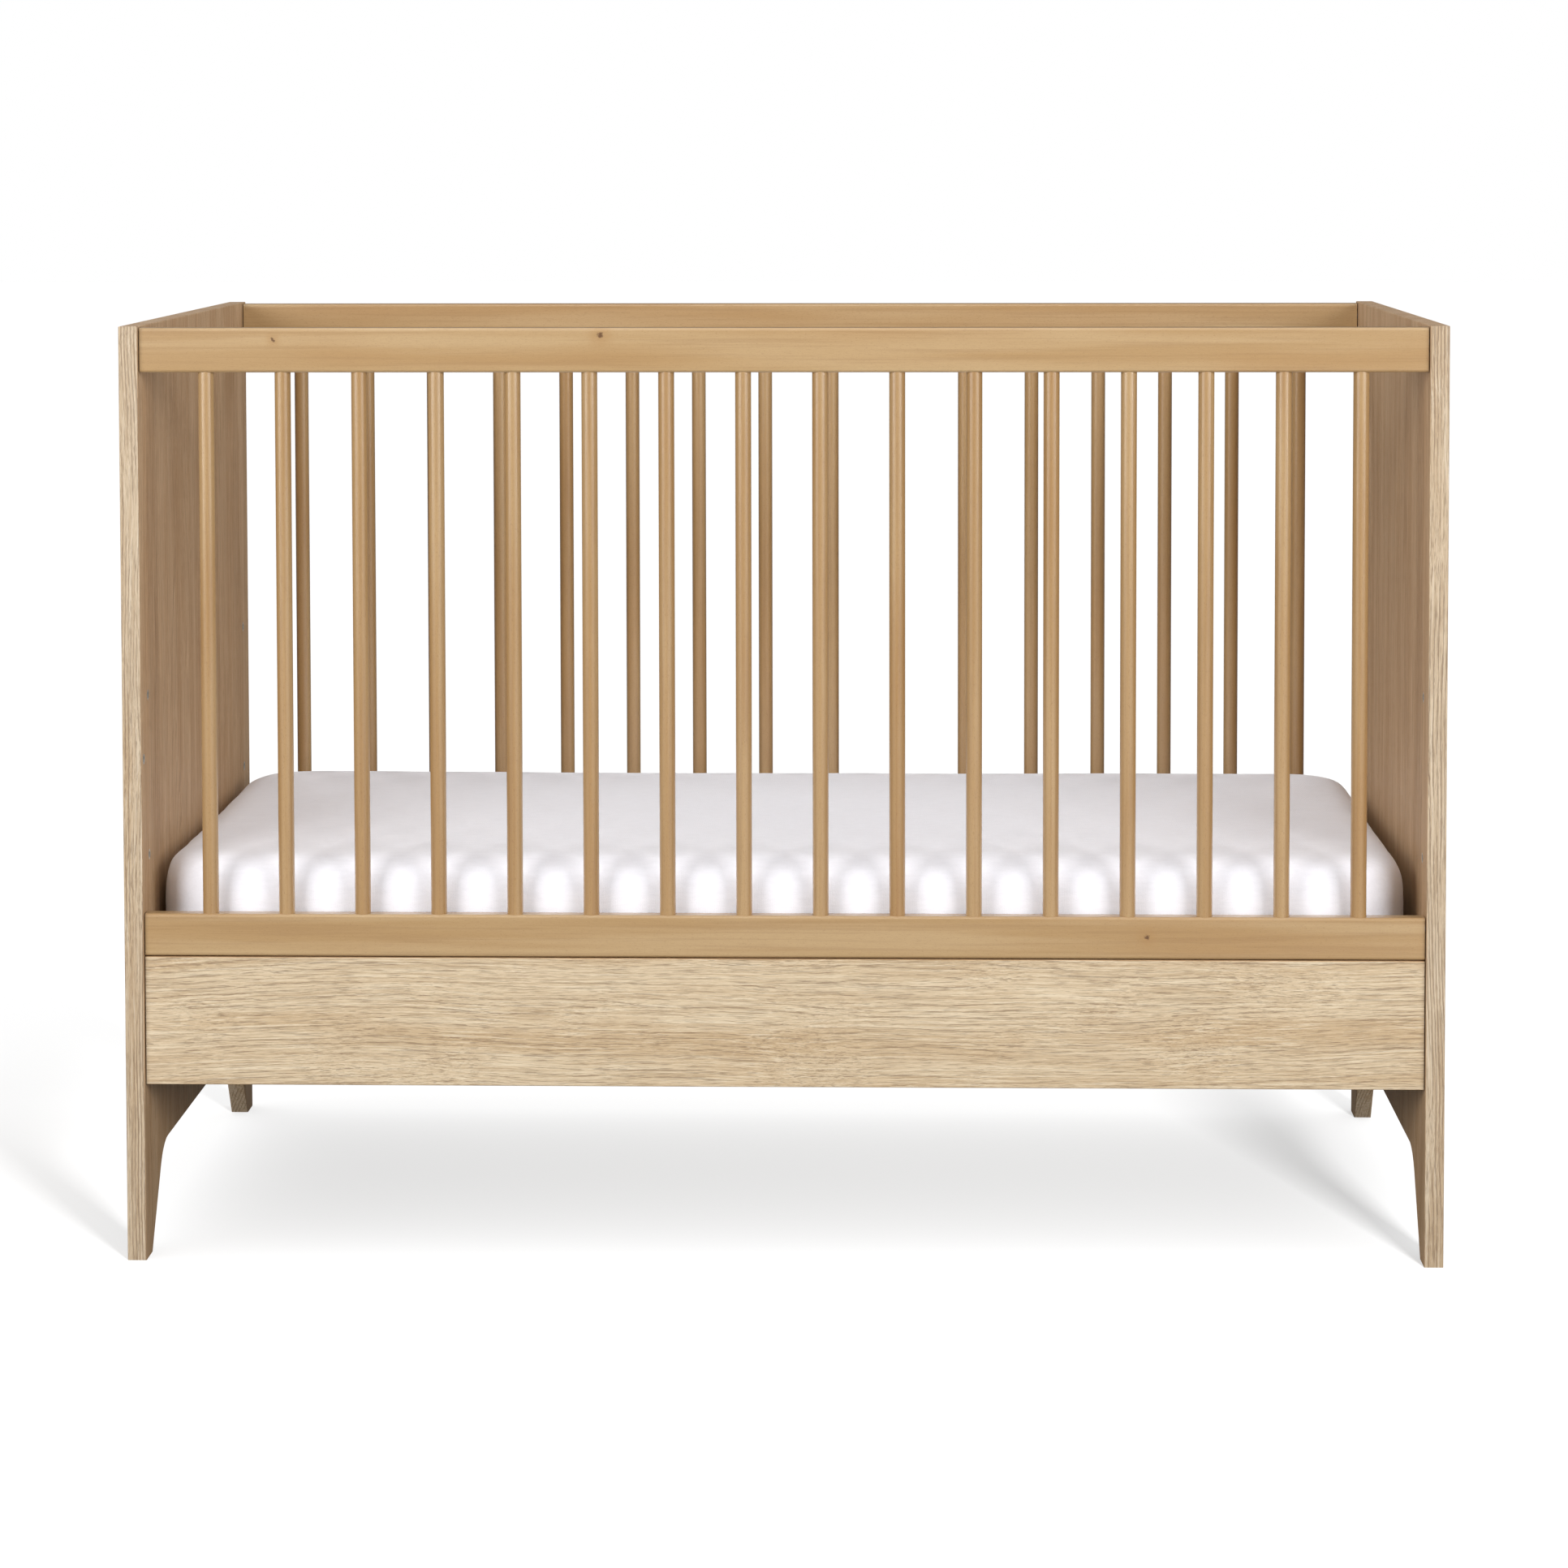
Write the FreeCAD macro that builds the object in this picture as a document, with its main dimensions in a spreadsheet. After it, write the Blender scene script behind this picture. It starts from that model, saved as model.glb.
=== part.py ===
import FreeCAD, Part
import math
import os
import re

import Sketcher
from FreeCAD import Placement, Rotation, Vector

# Baby crib (cot) for a 1200 x 600 mm mattress, in millimetres.
# Frame: X along the length, Y towards the back, Z up. The origin is on the floor under the centre.
# Two full-height end panels carry four beech rails, two aprons and 32 spindles. The mattress base hooks
# over four bolts that screw into one of three rows of insert nuts, and the mattress lies loose on it.

os.makedirs("parts", exist_ok=True)
doc = FreeCAD.newDocument("baby_crib")

# ---------------------------------------------------------------- driving dimensions

SIZES = {
    "overall_width": (1244, "outer face to outer face of the end panels"),
    "overall_depth": (654, "front edge to back edge of the end panels"),
    "panel_height": (887, "height of the end panels"),
    "board": (18, "thickness of the decor board and of the rails"),
    "edge_round": (1, "rounding of the decor board's edges"),
    "foot_depth": (33, "depth of a foot at the floor"),
    "arch_height": (91, "underside of the panel between its two legs"),
    "leg_top_depth": (97, "depth of a leg where its slant meets the arch"),
    "arch_round": (50, "radius of the arch's two corners"),
    "rail_setback": (4, "rails and aprons behind the panels' edges"),
    "end_gap": (1, "gap between a rail's end and the panel"),
    "top_rail_z": (843.5, "underside of the top rails"),
    "top_rail_height": (42, "height of the top rails"),
    "bottom_rail_z": (291, "underside of the bottom rails"),
    "bottom_rail_height": (40, "height of the bottom rails"),
    "rail_round": (3, "rounding of the rails' long edges"),
    "apron_z": (168, "underside of the aprons"),
    "apron_height": (122, "height of the aprons"),
    "spindle_diameter": (15, "diameter of a spindle"),
    "spindle_count": (16, "spindles on each side"),
    "spindle_pitch": (72.2, "spacing of the spindles"),
    "socket_depth": (15, "depth of a spindle's socket"),
    "glue_gap": (0.1, "radial room in the glued sockets and dowel holes"),
    "bolt_radius": (2.95, "M6 bolt"),
    "thread_radius": (3, "M6 threaded hole"),
    "bolt_bore": (3.5, "radius of the clearance bore for an M6 bolt"),
    "connector_length": (54, "connector bolt under its head"),
    "connector_head_radius": (7.2, "flat head of a connector bolt"),
    "connector_head_height": (2.3, "flat head of a connector bolt"),
    "counterbore_radius": (7.6, "recess for a connector bolt's head"),
    "counterbore_depth": (2.5, "recess for a connector bolt's head"),
    "hex_socket": (4, "hexagon key across flats"),
    "barrel_radius": (5, "barrel nut"),
    "barrel_length": (13, "barrel nut"),
    "barrel_inset": (30, "barrel nut's axis from the rail's end"),
    "dowel_radius": (4, "wooden dowel"),
    "dowel_in_panel": (10, "depth of the dowel hole in the panel"),
    "dowel_in_rail": (20, "depth of the dowel hole in the rail"),
    "rail_bolt_up": (28, "bolt axis above a rail's underside"),
    "rail_dowel_up": (11, "dowel axis above a rail's underside"),
    "apron_bolt_up": (61, "bolt axis above an apron's underside"),
    "apron_dowel_up": (28, "lower dowel axis above an apron's underside"),
    "apron_dowel_gap": (66, "spacing of an apron's two dowels"),
    "insert_edge": (37, "insert nuts from the panel's front or back edge"),
    "insert_low_z": (230, "height of the lowest insert nuts"),
    "insert_step": (152.5, "spacing of the three insert heights"),
    "insert_radius": (5, "insert nut"),
    "insert_length": (13, "insert nut"),
    "safety_insert_y": (13, "single insert nut from the panel's front edge"),
    "safety_insert_z": (477, "height of the single insert nut"),
    "base_width": (600, "width of the mattress base"),
    "base_rail_height": (45, "height of the base's rails"),
    "base_bolt_up": (22, "base bolt axis above the base's underside"),
    "base_end_gap": (1, "gap between the base and a panel"),
    "long_rail_y": (60, "front face of a long rail from the panels' front edge line"),
    "notch_radius": (3.3, "open notch over a base bolt"),
    "washer_radius": (9, "washer under a base bolt's head"),
    "washer_height": (1.6, "washer under a base bolt's head"),
    "running_gap": (0.3, "room between pieces that move apart"),
    "base_head_radius": (6, "button head of a base bolt"),
    "base_head_height": (3.4, "button head of a base bolt"),
    "slat_count": (12, "slats in the mattress base"),
    "slat_width": (60, "width of a slat"),
    "slat_height": (8, "thickness of a slat"),
    "slat_length": (596, "length of a slat"),
    "slat_pitch": (99.5, "spacing of the slats"),
    "frame_screw_radius": (3, "screw that joins the base's rails"),
    "frame_screw_head": (5, "head radius of that screw"),
    "frame_screw_length": (50, "length of that screw"),
    "frame_screw_low": (12, "lower screw above the base's underside"),
    "frame_screw_gap": (21, "spacing of the two screws in a corner"),
    "slat_screw_radius": (1.75, "screw that holds a slat"),
    "slat_screw_head": (3.5, "head radius of that screw"),
    "slat_screw_length": (25, "length of that screw"),
    "screw_head_height": (2, "head of either wood screw"),
    "screw_room": (0.1, "radial room round a screw"),
    "mattress_length": (1190, "foam core"),
    "mattress_width": (594, "foam core"),
    "mattress_height": (114, "foam core"),
    "mattress_corner": (80, "plan radius of the core's corners"),
    "mattress_edge": (20, "rounding of the core's top edges"),
    "mattress_low_edge": (8, "rounding of the core's bottom edges"),
    "sheet_thickness": (1, "fitted sheet"),
    "sheet_room": (0.3, "room between the sheet and the core"),
    "sheet_lift": (4, "sheet's hem above the slats"),
}

sheet = doc.addObject("Spreadsheet::Sheet", "Sizes")
for row, (alias, (value, note)) in enumerate(SIZES.items(), start=1):
    sheet.set(f"A{row}", note)
    sheet.set(f"B{row}", str(value))
    sheet.setAlias(f"B{row}", alias)
doc.recompute()

# Heights and places that several pieces share, as formulas on the sheet's cells.
RAIL_LENGTH = "(overall_width - 2 * board - 2 * end_gap)"
BASE_Z = "(insert_low_z - base_bolt_up)"
BASE_END_X = "(overall_width / 2 - board - base_end_gap)"
LONG_RAIL_LENGTH = "(2 * (overall_width / 2 - 2 * board - base_end_gap))"
SLAT_Z = "(insert_low_z - base_bolt_up + base_rail_height)"
MATTRESS_Z = "(insert_low_z - base_bolt_up + base_rail_height + slat_height + running_gap)"
RAIL_AXIS_Y = "(rail_setback + board / 2)"

WORD = re.compile(r"[a-z][a-z_]+")


def formula(text):
    """The text with each cell's alias written as Sizes.alias."""
    return WORD.sub(lambda found: f"Sizes.{found.group()}" if found.group() in SIZES else found.group(), str(text))


def number(text):
    """The value of a formula."""
    return float(sheet.evalExpression(formula(text)))


# ---------------------------------------------------------------- helpers


def new_body(label, place=("0", "0", "0"), half_turn=False):
    """A body whose placement is bound to three formulas, turned by half a turn about Z if asked."""
    body = doc.addObject("PartDesign::Body", label)
    body.Label = label
    turn = Rotation(Vector(0, 0, 1), 180 if half_turn else 0)
    body.Placement = Placement(Vector(*[number(text) for text in place]), turn)
    bind_place(body, place)
    return body


def bind_place(thing, place):
    for axis, text in zip("xyz", place):
        thing.setExpression(f"Placement.Base.{axis}", formula(text))


def new_sketch(body, name, role, offset="0"):
    """A sketch on one of the body's own origin planes, moved along that plane's normal."""
    plane = next(item for item in body.Origin.OriginFeatures if item.Role == role)
    sketch = body.newObject("Sketcher::SketchObject", name)
    sketch.AttachmentSupport = (plane, [""])
    sketch.MapMode = "FlatFace"
    sketch.setExpression("AttachmentOffset.Base.z", formula(offset))
    return sketch


def pin_point(sketch, geometry, point, place):
    """Holds a point of the sketch at two formulas."""
    axes = (("DistanceX", -2), ("DistanceY", -1))
    for (kind, axis), text in zip(axes, place):
        if abs(number(text)) < 1e-9:
            sketch.addConstraint(Sketcher.Constraint("PointOnObject", geometry, point, axis))
        else:
            index = sketch.addConstraint(Sketcher.Constraint(kind, geometry, point, number(text)))
            sketch.setExpression(f"Constraints[{index}]", formula(text))


def add_outline(sketch, corners):
    """A closed outline of straight lines through corners given as pairs of formulas."""
    points = [Vector(number(across), number(up), 0) for across, up in corners]
    first = sketch.GeometryCount
    count = len(points)
    for step in range(count):
        sketch.addGeometry(Part.LineSegment(points[step], points[(step + 1) % count]), False)
    for step in range(count):
        after = first + (step + 1) % count
        sketch.addConstraint(Sketcher.Constraint("Coincident", first + step, 2, after, 1))
    for step, corner in enumerate(corners):
        pin_point(sketch, first + step, 1, corner)


def add_rectangle(sketch, left, low, right, top):
    add_outline(sketch, [(left, low), (right, low), (right, top), (left, top)])


def add_circles(sketch, centres, radius):
    """Circles of one radius at pairs of formulas."""
    for across, up in centres:
        centre = Vector(number(across), number(up), 0)
        index = sketch.addGeometry(Part.Circle(centre, Vector(0, 0, 1), number(radius)), False)
        pin_point(sketch, index, 3, (across, up))
        size = sketch.addConstraint(Sketcher.Constraint("Radius", index, number(radius)))
        sketch.setExpression(f"Constraints[{size}]", formula(radius))


def pad(body, name, sketch, length):
    """Material on the side that the sketch's plane faces."""
    feature = body.newObject("PartDesign::Pad", name)
    feature.Profile = sketch
    feature.setExpression("Length", formula(length))
    doc.recompute()
    return feature


def pocket(body, name, sketch, depth):
    """A pocket that goes into the solid, whichever way that is from the sketch's plane."""
    before = body.Shape.Volume
    feature = body.newObject("PartDesign::Pocket", name)
    feature.Profile = sketch
    feature.setExpression("Length", formula(depth))
    doc.recompute()
    if feature.Shape.Volume > before - 1:
        feature.Reversed = True
        doc.recompute()
    assert feature.Shape.Volume < before - 1, f"{body.Label}: {name} cuts nothing"
    return feature


def bores(body, name, role, offset, centres, radius, depth):
    """Round pockets from one plane."""
    sketch = new_sketch(body, f"{name}_sketch", role, offset)
    add_circles(sketch, centres, radius)
    return pocket(body, name, sketch, depth)


def studs(body, name, role, offset, centres, radius, length):
    """Round pads from one plane."""
    sketch = new_sketch(body, f"{name}_sketch", role, offset)
    add_circles(sketch, centres, radius)
    return pad(body, name, sketch, length)


def repeat(body, features, name, axis_role, length, count):
    """A row of the features along one of the body's axes."""
    axis = next(item for item in body.Origin.OriginFeatures if item.Role == axis_role)
    row_feature = body.newObject("PartDesign::LinearPattern", name)
    row_feature.Originals = features
    row_feature.Direction = (axis, [""])
    row_feature.setExpression("Length", formula(length))
    row_feature.setExpression("Occurrences", formula(count))
    body.Tip = row_feature
    doc.recompute()
    return row_feature


def mirror(body, features, name, role="YZ_Plane"):
    """The features again on the other side of one of the body's planes."""
    plane = next(item for item in body.Origin.OriginFeatures if item.Role == role)
    copy = body.newObject("PartDesign::Mirrored", name)
    copy.Originals = features
    copy.MirrorPlane = (plane, [""])
    body.Tip = copy
    doc.recompute()
    return copy


def round_edges(body, name, radius, wanted):
    """A fillet on the edges that a test picks."""
    base = body.Tip
    names = [f"Edge{place}" for place, edge in enumerate(base.Shape.Edges, start=1) if wanted(edge)]
    assert names, f"{body.Label}: {name} finds no edge"
    feature = body.newObject("PartDesign::Fillet", name)
    feature.Base = (base, names)
    feature.setExpression("Radius", formula(radius))
    doc.recompute()
    return feature


def runs_along(edge, axis):
    """True for a straight edge along X, Y or Z."""
    if not isinstance(edge.Curve, Part.Line):
        return False
    direction = edge.Curve.Direction
    return abs(abs(direction[axis]) - 1) < 1e-6


def in_plane(edge, axis, value):
    """True if the whole edge lies where one coordinate has the value."""
    box = edge.BoundBox
    low = (box.XMin, box.YMin, box.ZMin)[axis]
    high = (box.XMax, box.YMax, box.ZMax)[axis]
    return abs(low - value) < 1e-4 and abs(high - value) < 1e-4


# ---------------------------------------------------------------- shared hole places

TOP_BOLT_Z = "(top_rail_z + rail_bolt_up)"
TOP_DOWEL_Z = "(top_rail_z + rail_dowel_up)"
BOTTOM_BOLT_Z = "(bottom_rail_z + rail_bolt_up)"
BOTTOM_DOWEL_Z = "(bottom_rail_z + rail_dowel_up)"
APRON_BOLT_Z = "(apron_z + apron_bolt_up)"
APRON_DOWEL_LOW_Z = "(apron_z + apron_dowel_up)"
APRON_DOWEL_HIGH_Z = "(apron_z + apron_dowel_up + apron_dowel_gap)"


def both_sides(near, heights):
    """Places on the end panel at one distance from its front and from its back edge."""
    return [(far, height) for far in (near, f"overall_depth - {near}") for height in heights]


BOLT_PLACES = both_sides(RAIL_AXIS_Y, (TOP_BOLT_Z, BOTTOM_BOLT_Z, APRON_BOLT_Z))
DOWEL_PLACES = both_sides(RAIL_AXIS_Y, (TOP_DOWEL_Z, BOTTOM_DOWEL_Z, APRON_DOWEL_LOW_Z, APRON_DOWEL_HIGH_Z))
INSERT_PLACES = both_sides("insert_edge", [f"(insert_low_z + {step} * insert_step)" for step in range(3)])
BASE_BOLT_PLACES = both_sides("insert_edge", ("insert_low_z",))

# ---------------------------------------------------------------- end panels


def make_end_panel(label, left_side):
    """A board cut out below into two slanted legs, with the bores that the fittings need."""
    start = "-overall_width / 2" if left_side else "overall_width / 2 - board"
    outer, inner = ("0", "board") if left_side else ("board", "0")
    body = new_body(label, (start, "-overall_depth / 2", "0"))
    sketch = new_sketch(body, "panel_outline", "YZ_Plane")
    add_outline(sketch, [
        ("0", "0"), ("foot_depth", "0"),
        ("leg_top_depth", "arch_height"), ("overall_depth - leg_top_depth", "arch_height"),
        ("overall_depth - foot_depth", "0"), ("overall_depth", "0"),
        ("overall_depth", "panel_height"), ("0", "panel_height"),
    ])
    pad(body, "panel_board", sketch, "board")
    arch = number("arch_height")
    round_edges(body, "arch_corners", "arch_round",
                lambda edge: runs_along(edge, 0) and in_plane(edge, 2, arch))
    faces = (0, number("board"))
    round_edges(body, "board_edges", "edge_round",
                lambda edge: any(in_plane(edge, 0, face) for face in faces) and not in_plane(edge, 2, 0))
    bores(body, "bolt_holes", "YZ_Plane", outer, BOLT_PLACES, "bolt_bore", "board")
    bores(body, "head_recesses", "YZ_Plane", outer, BOLT_PLACES, "counterbore_radius", "counterbore_depth")
    bores(body, "dowel_holes", "YZ_Plane", inner, DOWEL_PLACES, "dowel_radius + glue_gap", "dowel_in_panel")
    places = INSERT_PLACES + ([("safety_insert_y", "safety_insert_z")] if left_side else [])
    bores(body, "insert_holes", "YZ_Plane", inner, places, "insert_radius + glue_gap", "insert_length + 1")
    return body


# ---------------------------------------------------------------- rails and aprons


def bar(label, place, half_turn, height, rounding):
    """A bar along X with rounded long edges; its show face is at Y = 0."""
    body = new_body(label, place, half_turn)
    sketch = new_sketch(body, "bar_section", "YZ_Plane")
    add_rectangle(sketch, "0", "0", "board", height)
    pad(body, "bar_length", sketch, RAIL_LENGTH)
    round_edges(body, "bar_edges", rounding, lambda edge: runs_along(edge, 0))
    return body


def end_fittings(body, bolt_up, dowels_up, nuts_from_below):
    """Bores for the connector bolt, the dowels and the barrel nut at both ends of a bar.

    The barrel nuts go in from the underside of the top rails and from the inner face of the other bars.
    """
    middle = "board / 2"
    for end, offset in (("left", "0"), ("right", RAIL_LENGTH)):
        bores(body, f"{end}_bolt_bore", "YZ_Plane", offset, [(middle, bolt_up)], "bolt_bore",
              "connector_length - board + 6")
        bores(body, f"{end}_dowel_bores", "YZ_Plane", offset, [(middle, up) for up in dowels_up],
              "dowel_radius + glue_gap", "dowel_in_rail")
    plane, offset, across, depth = "XZ_Plane", "-board", bolt_up, "barrel_length + 2"
    if nuts_from_below:
        plane, offset, across, depth = "XY_Plane", "0", middle, f"{bolt_up} + barrel_length / 2"
    ends = [("barrel_inset", across), (f"{RAIL_LENGTH} - barrel_inset", across)]
    bores(body, "barrel_bores", plane, offset, ends, "barrel_radius + glue_gap", depth)


def side_place(side, height):
    """Where a bar starts: the back ones are turned round, so they start at the right."""
    if side == "front":
        return (f"-{RAIL_LENGTH} / 2", "-overall_depth / 2 + rail_setback", height)
    return (f"{RAIL_LENGTH} / 2", "overall_depth / 2 - rail_setback", height)


def make_rail(side, level):
    """A top or bottom rail with a row of spindle sockets in the face towards the other rail."""
    height = f"{level}_rail_height"
    place = side_place(side, f"{level}_rail_z")
    body = bar(f"{side}_{level}_rail", place, side == "back", height, "rail_round")
    first = f"({RAIL_LENGTH} - (spindle_count - 1) * spindle_pitch) / 2"
    face = "0" if level == "top" else height
    socket = bores(body, "spindle_socket", "XY_Plane", face, [(first, "board / 2")],
                   "spindle_diameter / 2 + glue_gap", "socket_depth")
    repeat(body, [socket], "spindle_sockets", "X_Axis", "(spindle_count - 1) * spindle_pitch", "spindle_count")
    end_fittings(body, "rail_bolt_up", ["rail_dowel_up"], level == "top")
    return body


def make_apron(side):
    """The decor board below the bottom rail."""
    body = bar(f"{side}_apron", side_place(side, "apron_z"), side == "back", "apron_height", "edge_round")
    end_fittings(body, "apron_bolt_up", ["apron_dowel_up", "apron_dowel_up + apron_dowel_gap"], False)
    return body


# ---------------------------------------------------------------- spindles


def make_spindles(side):
    """A row of round spindles, each glued into the sockets of two rails."""
    sign = "-" if side == "front" else ""
    low_end = "bottom_rail_z + bottom_rail_height - socket_depth + 1"
    length = "top_rail_z - bottom_rail_z - bottom_rail_height + 2 * socket_depth - 2"
    row = []
    for place in range(int(number("spindle_count"))):
        label = f"{side}_spindle_{place + 1:02d}"
        spindle = doc.addObject("Part::Cylinder", label)
        spindle.Label = label
        spindle.setExpression("Radius", formula("spindle_diameter / 2"))
        spindle.setExpression("Height", formula(length))
        along = f"({place} - (spindle_count - 1) / 2) * spindle_pitch"
        bind_place(spindle, (along, f"{sign}(overall_depth / 2 - {RAIL_AXIS_Y})", low_end))
        row.append(spindle)
    return row


# ---------------------------------------------------------------- fittings of the frame
# These bodies hold several equal solids. Their frame starts at the panels' front edges, in the middle
# of the crib's length, so that every place is positive and the right-hand half is a mirror image.


def fitting_body(label):
    return new_body(label, ("0", "-overall_depth / 2", "0"))


def hexagon(sketch, centres, across_flats):
    """Hexagon sockets at pairs of formulas, with a corner upwards."""
    reach = f"{across_flats} / {math.sqrt(3):.6f}"
    for across, up in centres:
        corners = []
        for corner in range(6):
            angle = math.radians(60 * corner + 30)
            corners.append((f"{across} + {reach} * {math.cos(angle):.6f}", f"{up} + {reach} * {math.sin(angle):.6f}"))
        add_outline(sketch, corners)


def make_connector_bolts():
    """Twelve M6 bolts, with their flat heads let into the panels' outer faces."""
    body = fitting_body("connector_bolts")
    head_x = "-overall_width / 2 + 0.1"
    heads = studs(body, "heads", "YZ_Plane", head_x, BOLT_PLACES, "connector_head_radius", "connector_head_height")
    shanks = studs(body, "shanks", "YZ_Plane", f"{head_x} + connector_head_height - 0.1", BOLT_PLACES,
                   "bolt_radius", "connector_length")
    sketch = new_sketch(body, "key_outline", "YZ_Plane", head_x)
    hexagon(sketch, BOLT_PLACES, "hex_socket")
    keys = pocket(body, "keys", sketch, "connector_head_height - 0.3")
    mirror(body, [heads, shanks, keys], "right_side")
    return body


def make_barrel_nuts():
    """Twelve barrel nuts, upright in the top rails and crosswise in the other bars, each with its threaded hole."""
    body = fitting_body("barrel_nuts")
    heights = (BOTTOM_BOLT_Z, APRON_BOLT_Z)
    nut_x = f"({RAIL_LENGTH} / 2 - barrel_inset)"
    # The sketch's plane faces forwards, so a positive offset is towards the front.
    front_face = "-(rail_setback + board)"
    back_face = "-(overall_depth - rail_setback - board + barrel_length)"
    parts = []
    for side, face in (("front", front_face), ("back", back_face)):
        parts.append(studs(body, f"{side}_nuts", "XZ_Plane", face, [(nut_x, height) for height in heights],
                           "barrel_radius", "barrel_length"))
    upright = [(nut_x, RAIL_AXIS_Y), (nut_x, f"overall_depth - {RAIL_AXIS_Y}")]
    parts.append(studs(body, "top_nuts", "XY_Plane", f"{TOP_BOLT_Z} - barrel_length / 2", upright,
                       "barrel_radius", "barrel_length"))
    threads = bores(body, "threads", "YZ_Plane", f"{nut_x} + barrel_radius + 1", BOLT_PLACES,
                    "thread_radius", "2 * barrel_radius + 2")
    mirror(body, parts + [threads], "left_side")
    return body


def make_rail_dowels():
    """Sixteen wooden dowels that keep the rails and aprons from turning."""
    body = fitting_body("rail_dowels")
    start = "-overall_width / 2 + board - dowel_in_panel + 1"
    dowels = studs(body, "dowels", "YZ_Plane", start, DOWEL_PLACES, "dowel_radius",
                   "dowel_in_panel + dowel_in_rail + end_gap - 2")
    mirror(body, [dowels], "right_side")
    return body


def insert_nuts(body, places):
    """Insert nuts flush with the left panel's inner face."""
    start = "-overall_width / 2 + board - insert_length"
    nuts = studs(body, "nuts", "YZ_Plane", start, places, "insert_radius", "insert_length")
    threads = bores(body, "threads", "YZ_Plane", f"{start} + insert_length + 1", places, "thread_radius",
                    "insert_length + 2")
    return [nuts, threads]


def make_height_insert_nuts():
    """Twelve M6 insert nuts: three heights for the base, front and back, in both panels."""
    body = fitting_body("height_insert_nuts")
    mirror(body, insert_nuts(body, INSERT_PLACES), "right_side")
    return body


def make_safety_rail_insert():
    """The single insert nut near the left panel's front edge."""
    body = fitting_body("safety_rail_insert")
    insert_nuts(body, [("safety_insert_y", "safety_insert_z")])
    return body


WASHER_X = "(-overall_width / 2 + 2 * board + base_end_gap + running_gap)"


def make_base_washers():
    """Four washers between the base bolts' heads and the base's end rails."""
    body = fitting_body("base_washers")
    discs = studs(body, "discs", "YZ_Plane", WASHER_X, BASE_BOLT_PLACES, "washer_radius", "washer_height")
    holes = bores(body, "holes", "YZ_Plane", f"{WASHER_X} + washer_height", BASE_BOLT_PLACES,
                  "thread_radius + 0.2", "washer_height")
    mirror(body, [discs, holes], "right_side")
    return body


def make_base_bolts():
    """Four M6 bolts that carry the mattress base, at the lowest of the three heights."""
    body = fitting_body("base_bolts")
    head_x = f"({WASHER_X} + washer_height)"
    tip_x = "(-overall_width / 2 + board - insert_length + 1)"
    heads = studs(body, "heads", "YZ_Plane", head_x, BASE_BOLT_PLACES, "base_head_radius", "base_head_height")
    shanks = studs(body, "shanks", "YZ_Plane", tip_x, BASE_BOLT_PLACES, "bolt_radius", f"{head_x} - {tip_x} + 0.5")
    sketch = new_sketch(body, "key_outline", "YZ_Plane", f"{head_x} + base_head_height")
    hexagon(sketch, BASE_BOLT_PLACES, "hex_socket")
    keys = pocket(body, "keys", sketch, "base_head_height - 1")
    mirror(body, [heads, shanks, keys], "right_side")
    return body


# ---------------------------------------------------------------- mattress base

FRAME_SCREW_UPS = ("frame_screw_low", "frame_screw_low + frame_screw_gap")
LONG_RAIL_AXIS = "(long_rail_y + board / 2)"
BASE_FRONT_Y = "(overall_depth / 2 - base_width / 2)"
FIRST_SLAT = "((slat_count - 1) * slat_pitch / 2)"


def make_base_end_rail(label, left_side):
    """A cross rail with two notches that are open below and drop over the base bolts."""
    start = f"-{BASE_END_X}" if left_side else f"{BASE_END_X} - board"
    outer = "0" if left_side else "board"
    body = new_body(label, (start, "-overall_depth / 2", BASE_Z))
    sketch = new_sketch(body, "rail_face", "YZ_Plane")
    add_rectangle(sketch, BASE_FRONT_Y, "0", f"{BASE_FRONT_Y} + base_width", "base_rail_height")
    pad(body, "rail_board", sketch, "board")
    bolts = both_sides("insert_edge", ("base_bolt_up",))
    bores(body, "notch_tops", "YZ_Plane", outer, bolts, "notch_radius", "board")
    sketch = new_sketch(body, "notch_outline", "YZ_Plane", outer)
    for across, up in bolts:
        add_rectangle(sketch, f"{across} - notch_radius", "0", f"{across} + notch_radius", up)
    pocket(body, "notches", sketch, "board")
    screws = both_sides(LONG_RAIL_AXIS, FRAME_SCREW_UPS)
    bores(body, "screw_holes", "YZ_Plane", outer, screws, "frame_screw_radius + screw_room", "board")
    bores(body, "screw_recesses", "YZ_Plane", outer, screws, "frame_screw_head + screw_room",
          "screw_head_height + 0.2")
    return body


def make_base_long_rail(side):
    """A long rail between the two cross rails, with bores for the frame's and the slats' screws."""
    y = "long_rail_y" if side == "front" else "(overall_depth - long_rail_y - board)"
    body = new_body(f"base_long_rail_{side}", (f"-{LONG_RAIL_LENGTH} / 2", f"{y} - overall_depth / 2", BASE_Z))
    sketch = new_sketch(body, "rail_section", "YZ_Plane")
    add_rectangle(sketch, "0", "0", "board", "base_rail_height")
    pad(body, "rail_length", sketch, LONG_RAIL_LENGTH)
    ends = [("board / 2", up) for up in FRAME_SCREW_UPS]
    for end, offset in (("left", "0"), ("right", LONG_RAIL_LENGTH)):
        bores(body, f"{end}_screw_bores", "YZ_Plane", offset, ends, "frame_screw_radius + screw_room",
              "frame_screw_length - board + 2")
    first = f"{LONG_RAIL_LENGTH} / 2 - {FIRST_SLAT}"
    bore = bores(body, "slat_screw_bore", "XY_Plane", "base_rail_height", [(first, "board / 2")],
                 "slat_screw_radius + screw_room", "slat_screw_length - slat_height + 1")
    repeat(body, [bore], "slat_screw_bores", "X_Axis", "(slat_count - 1) * slat_pitch", "slat_count")
    return body


SLAT_SCREW_PLACES = [(f"-{FIRST_SLAT}", place) for place in (LONG_RAIL_AXIS, f"overall_depth - {LONG_RAIL_AXIS}")]


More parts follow.
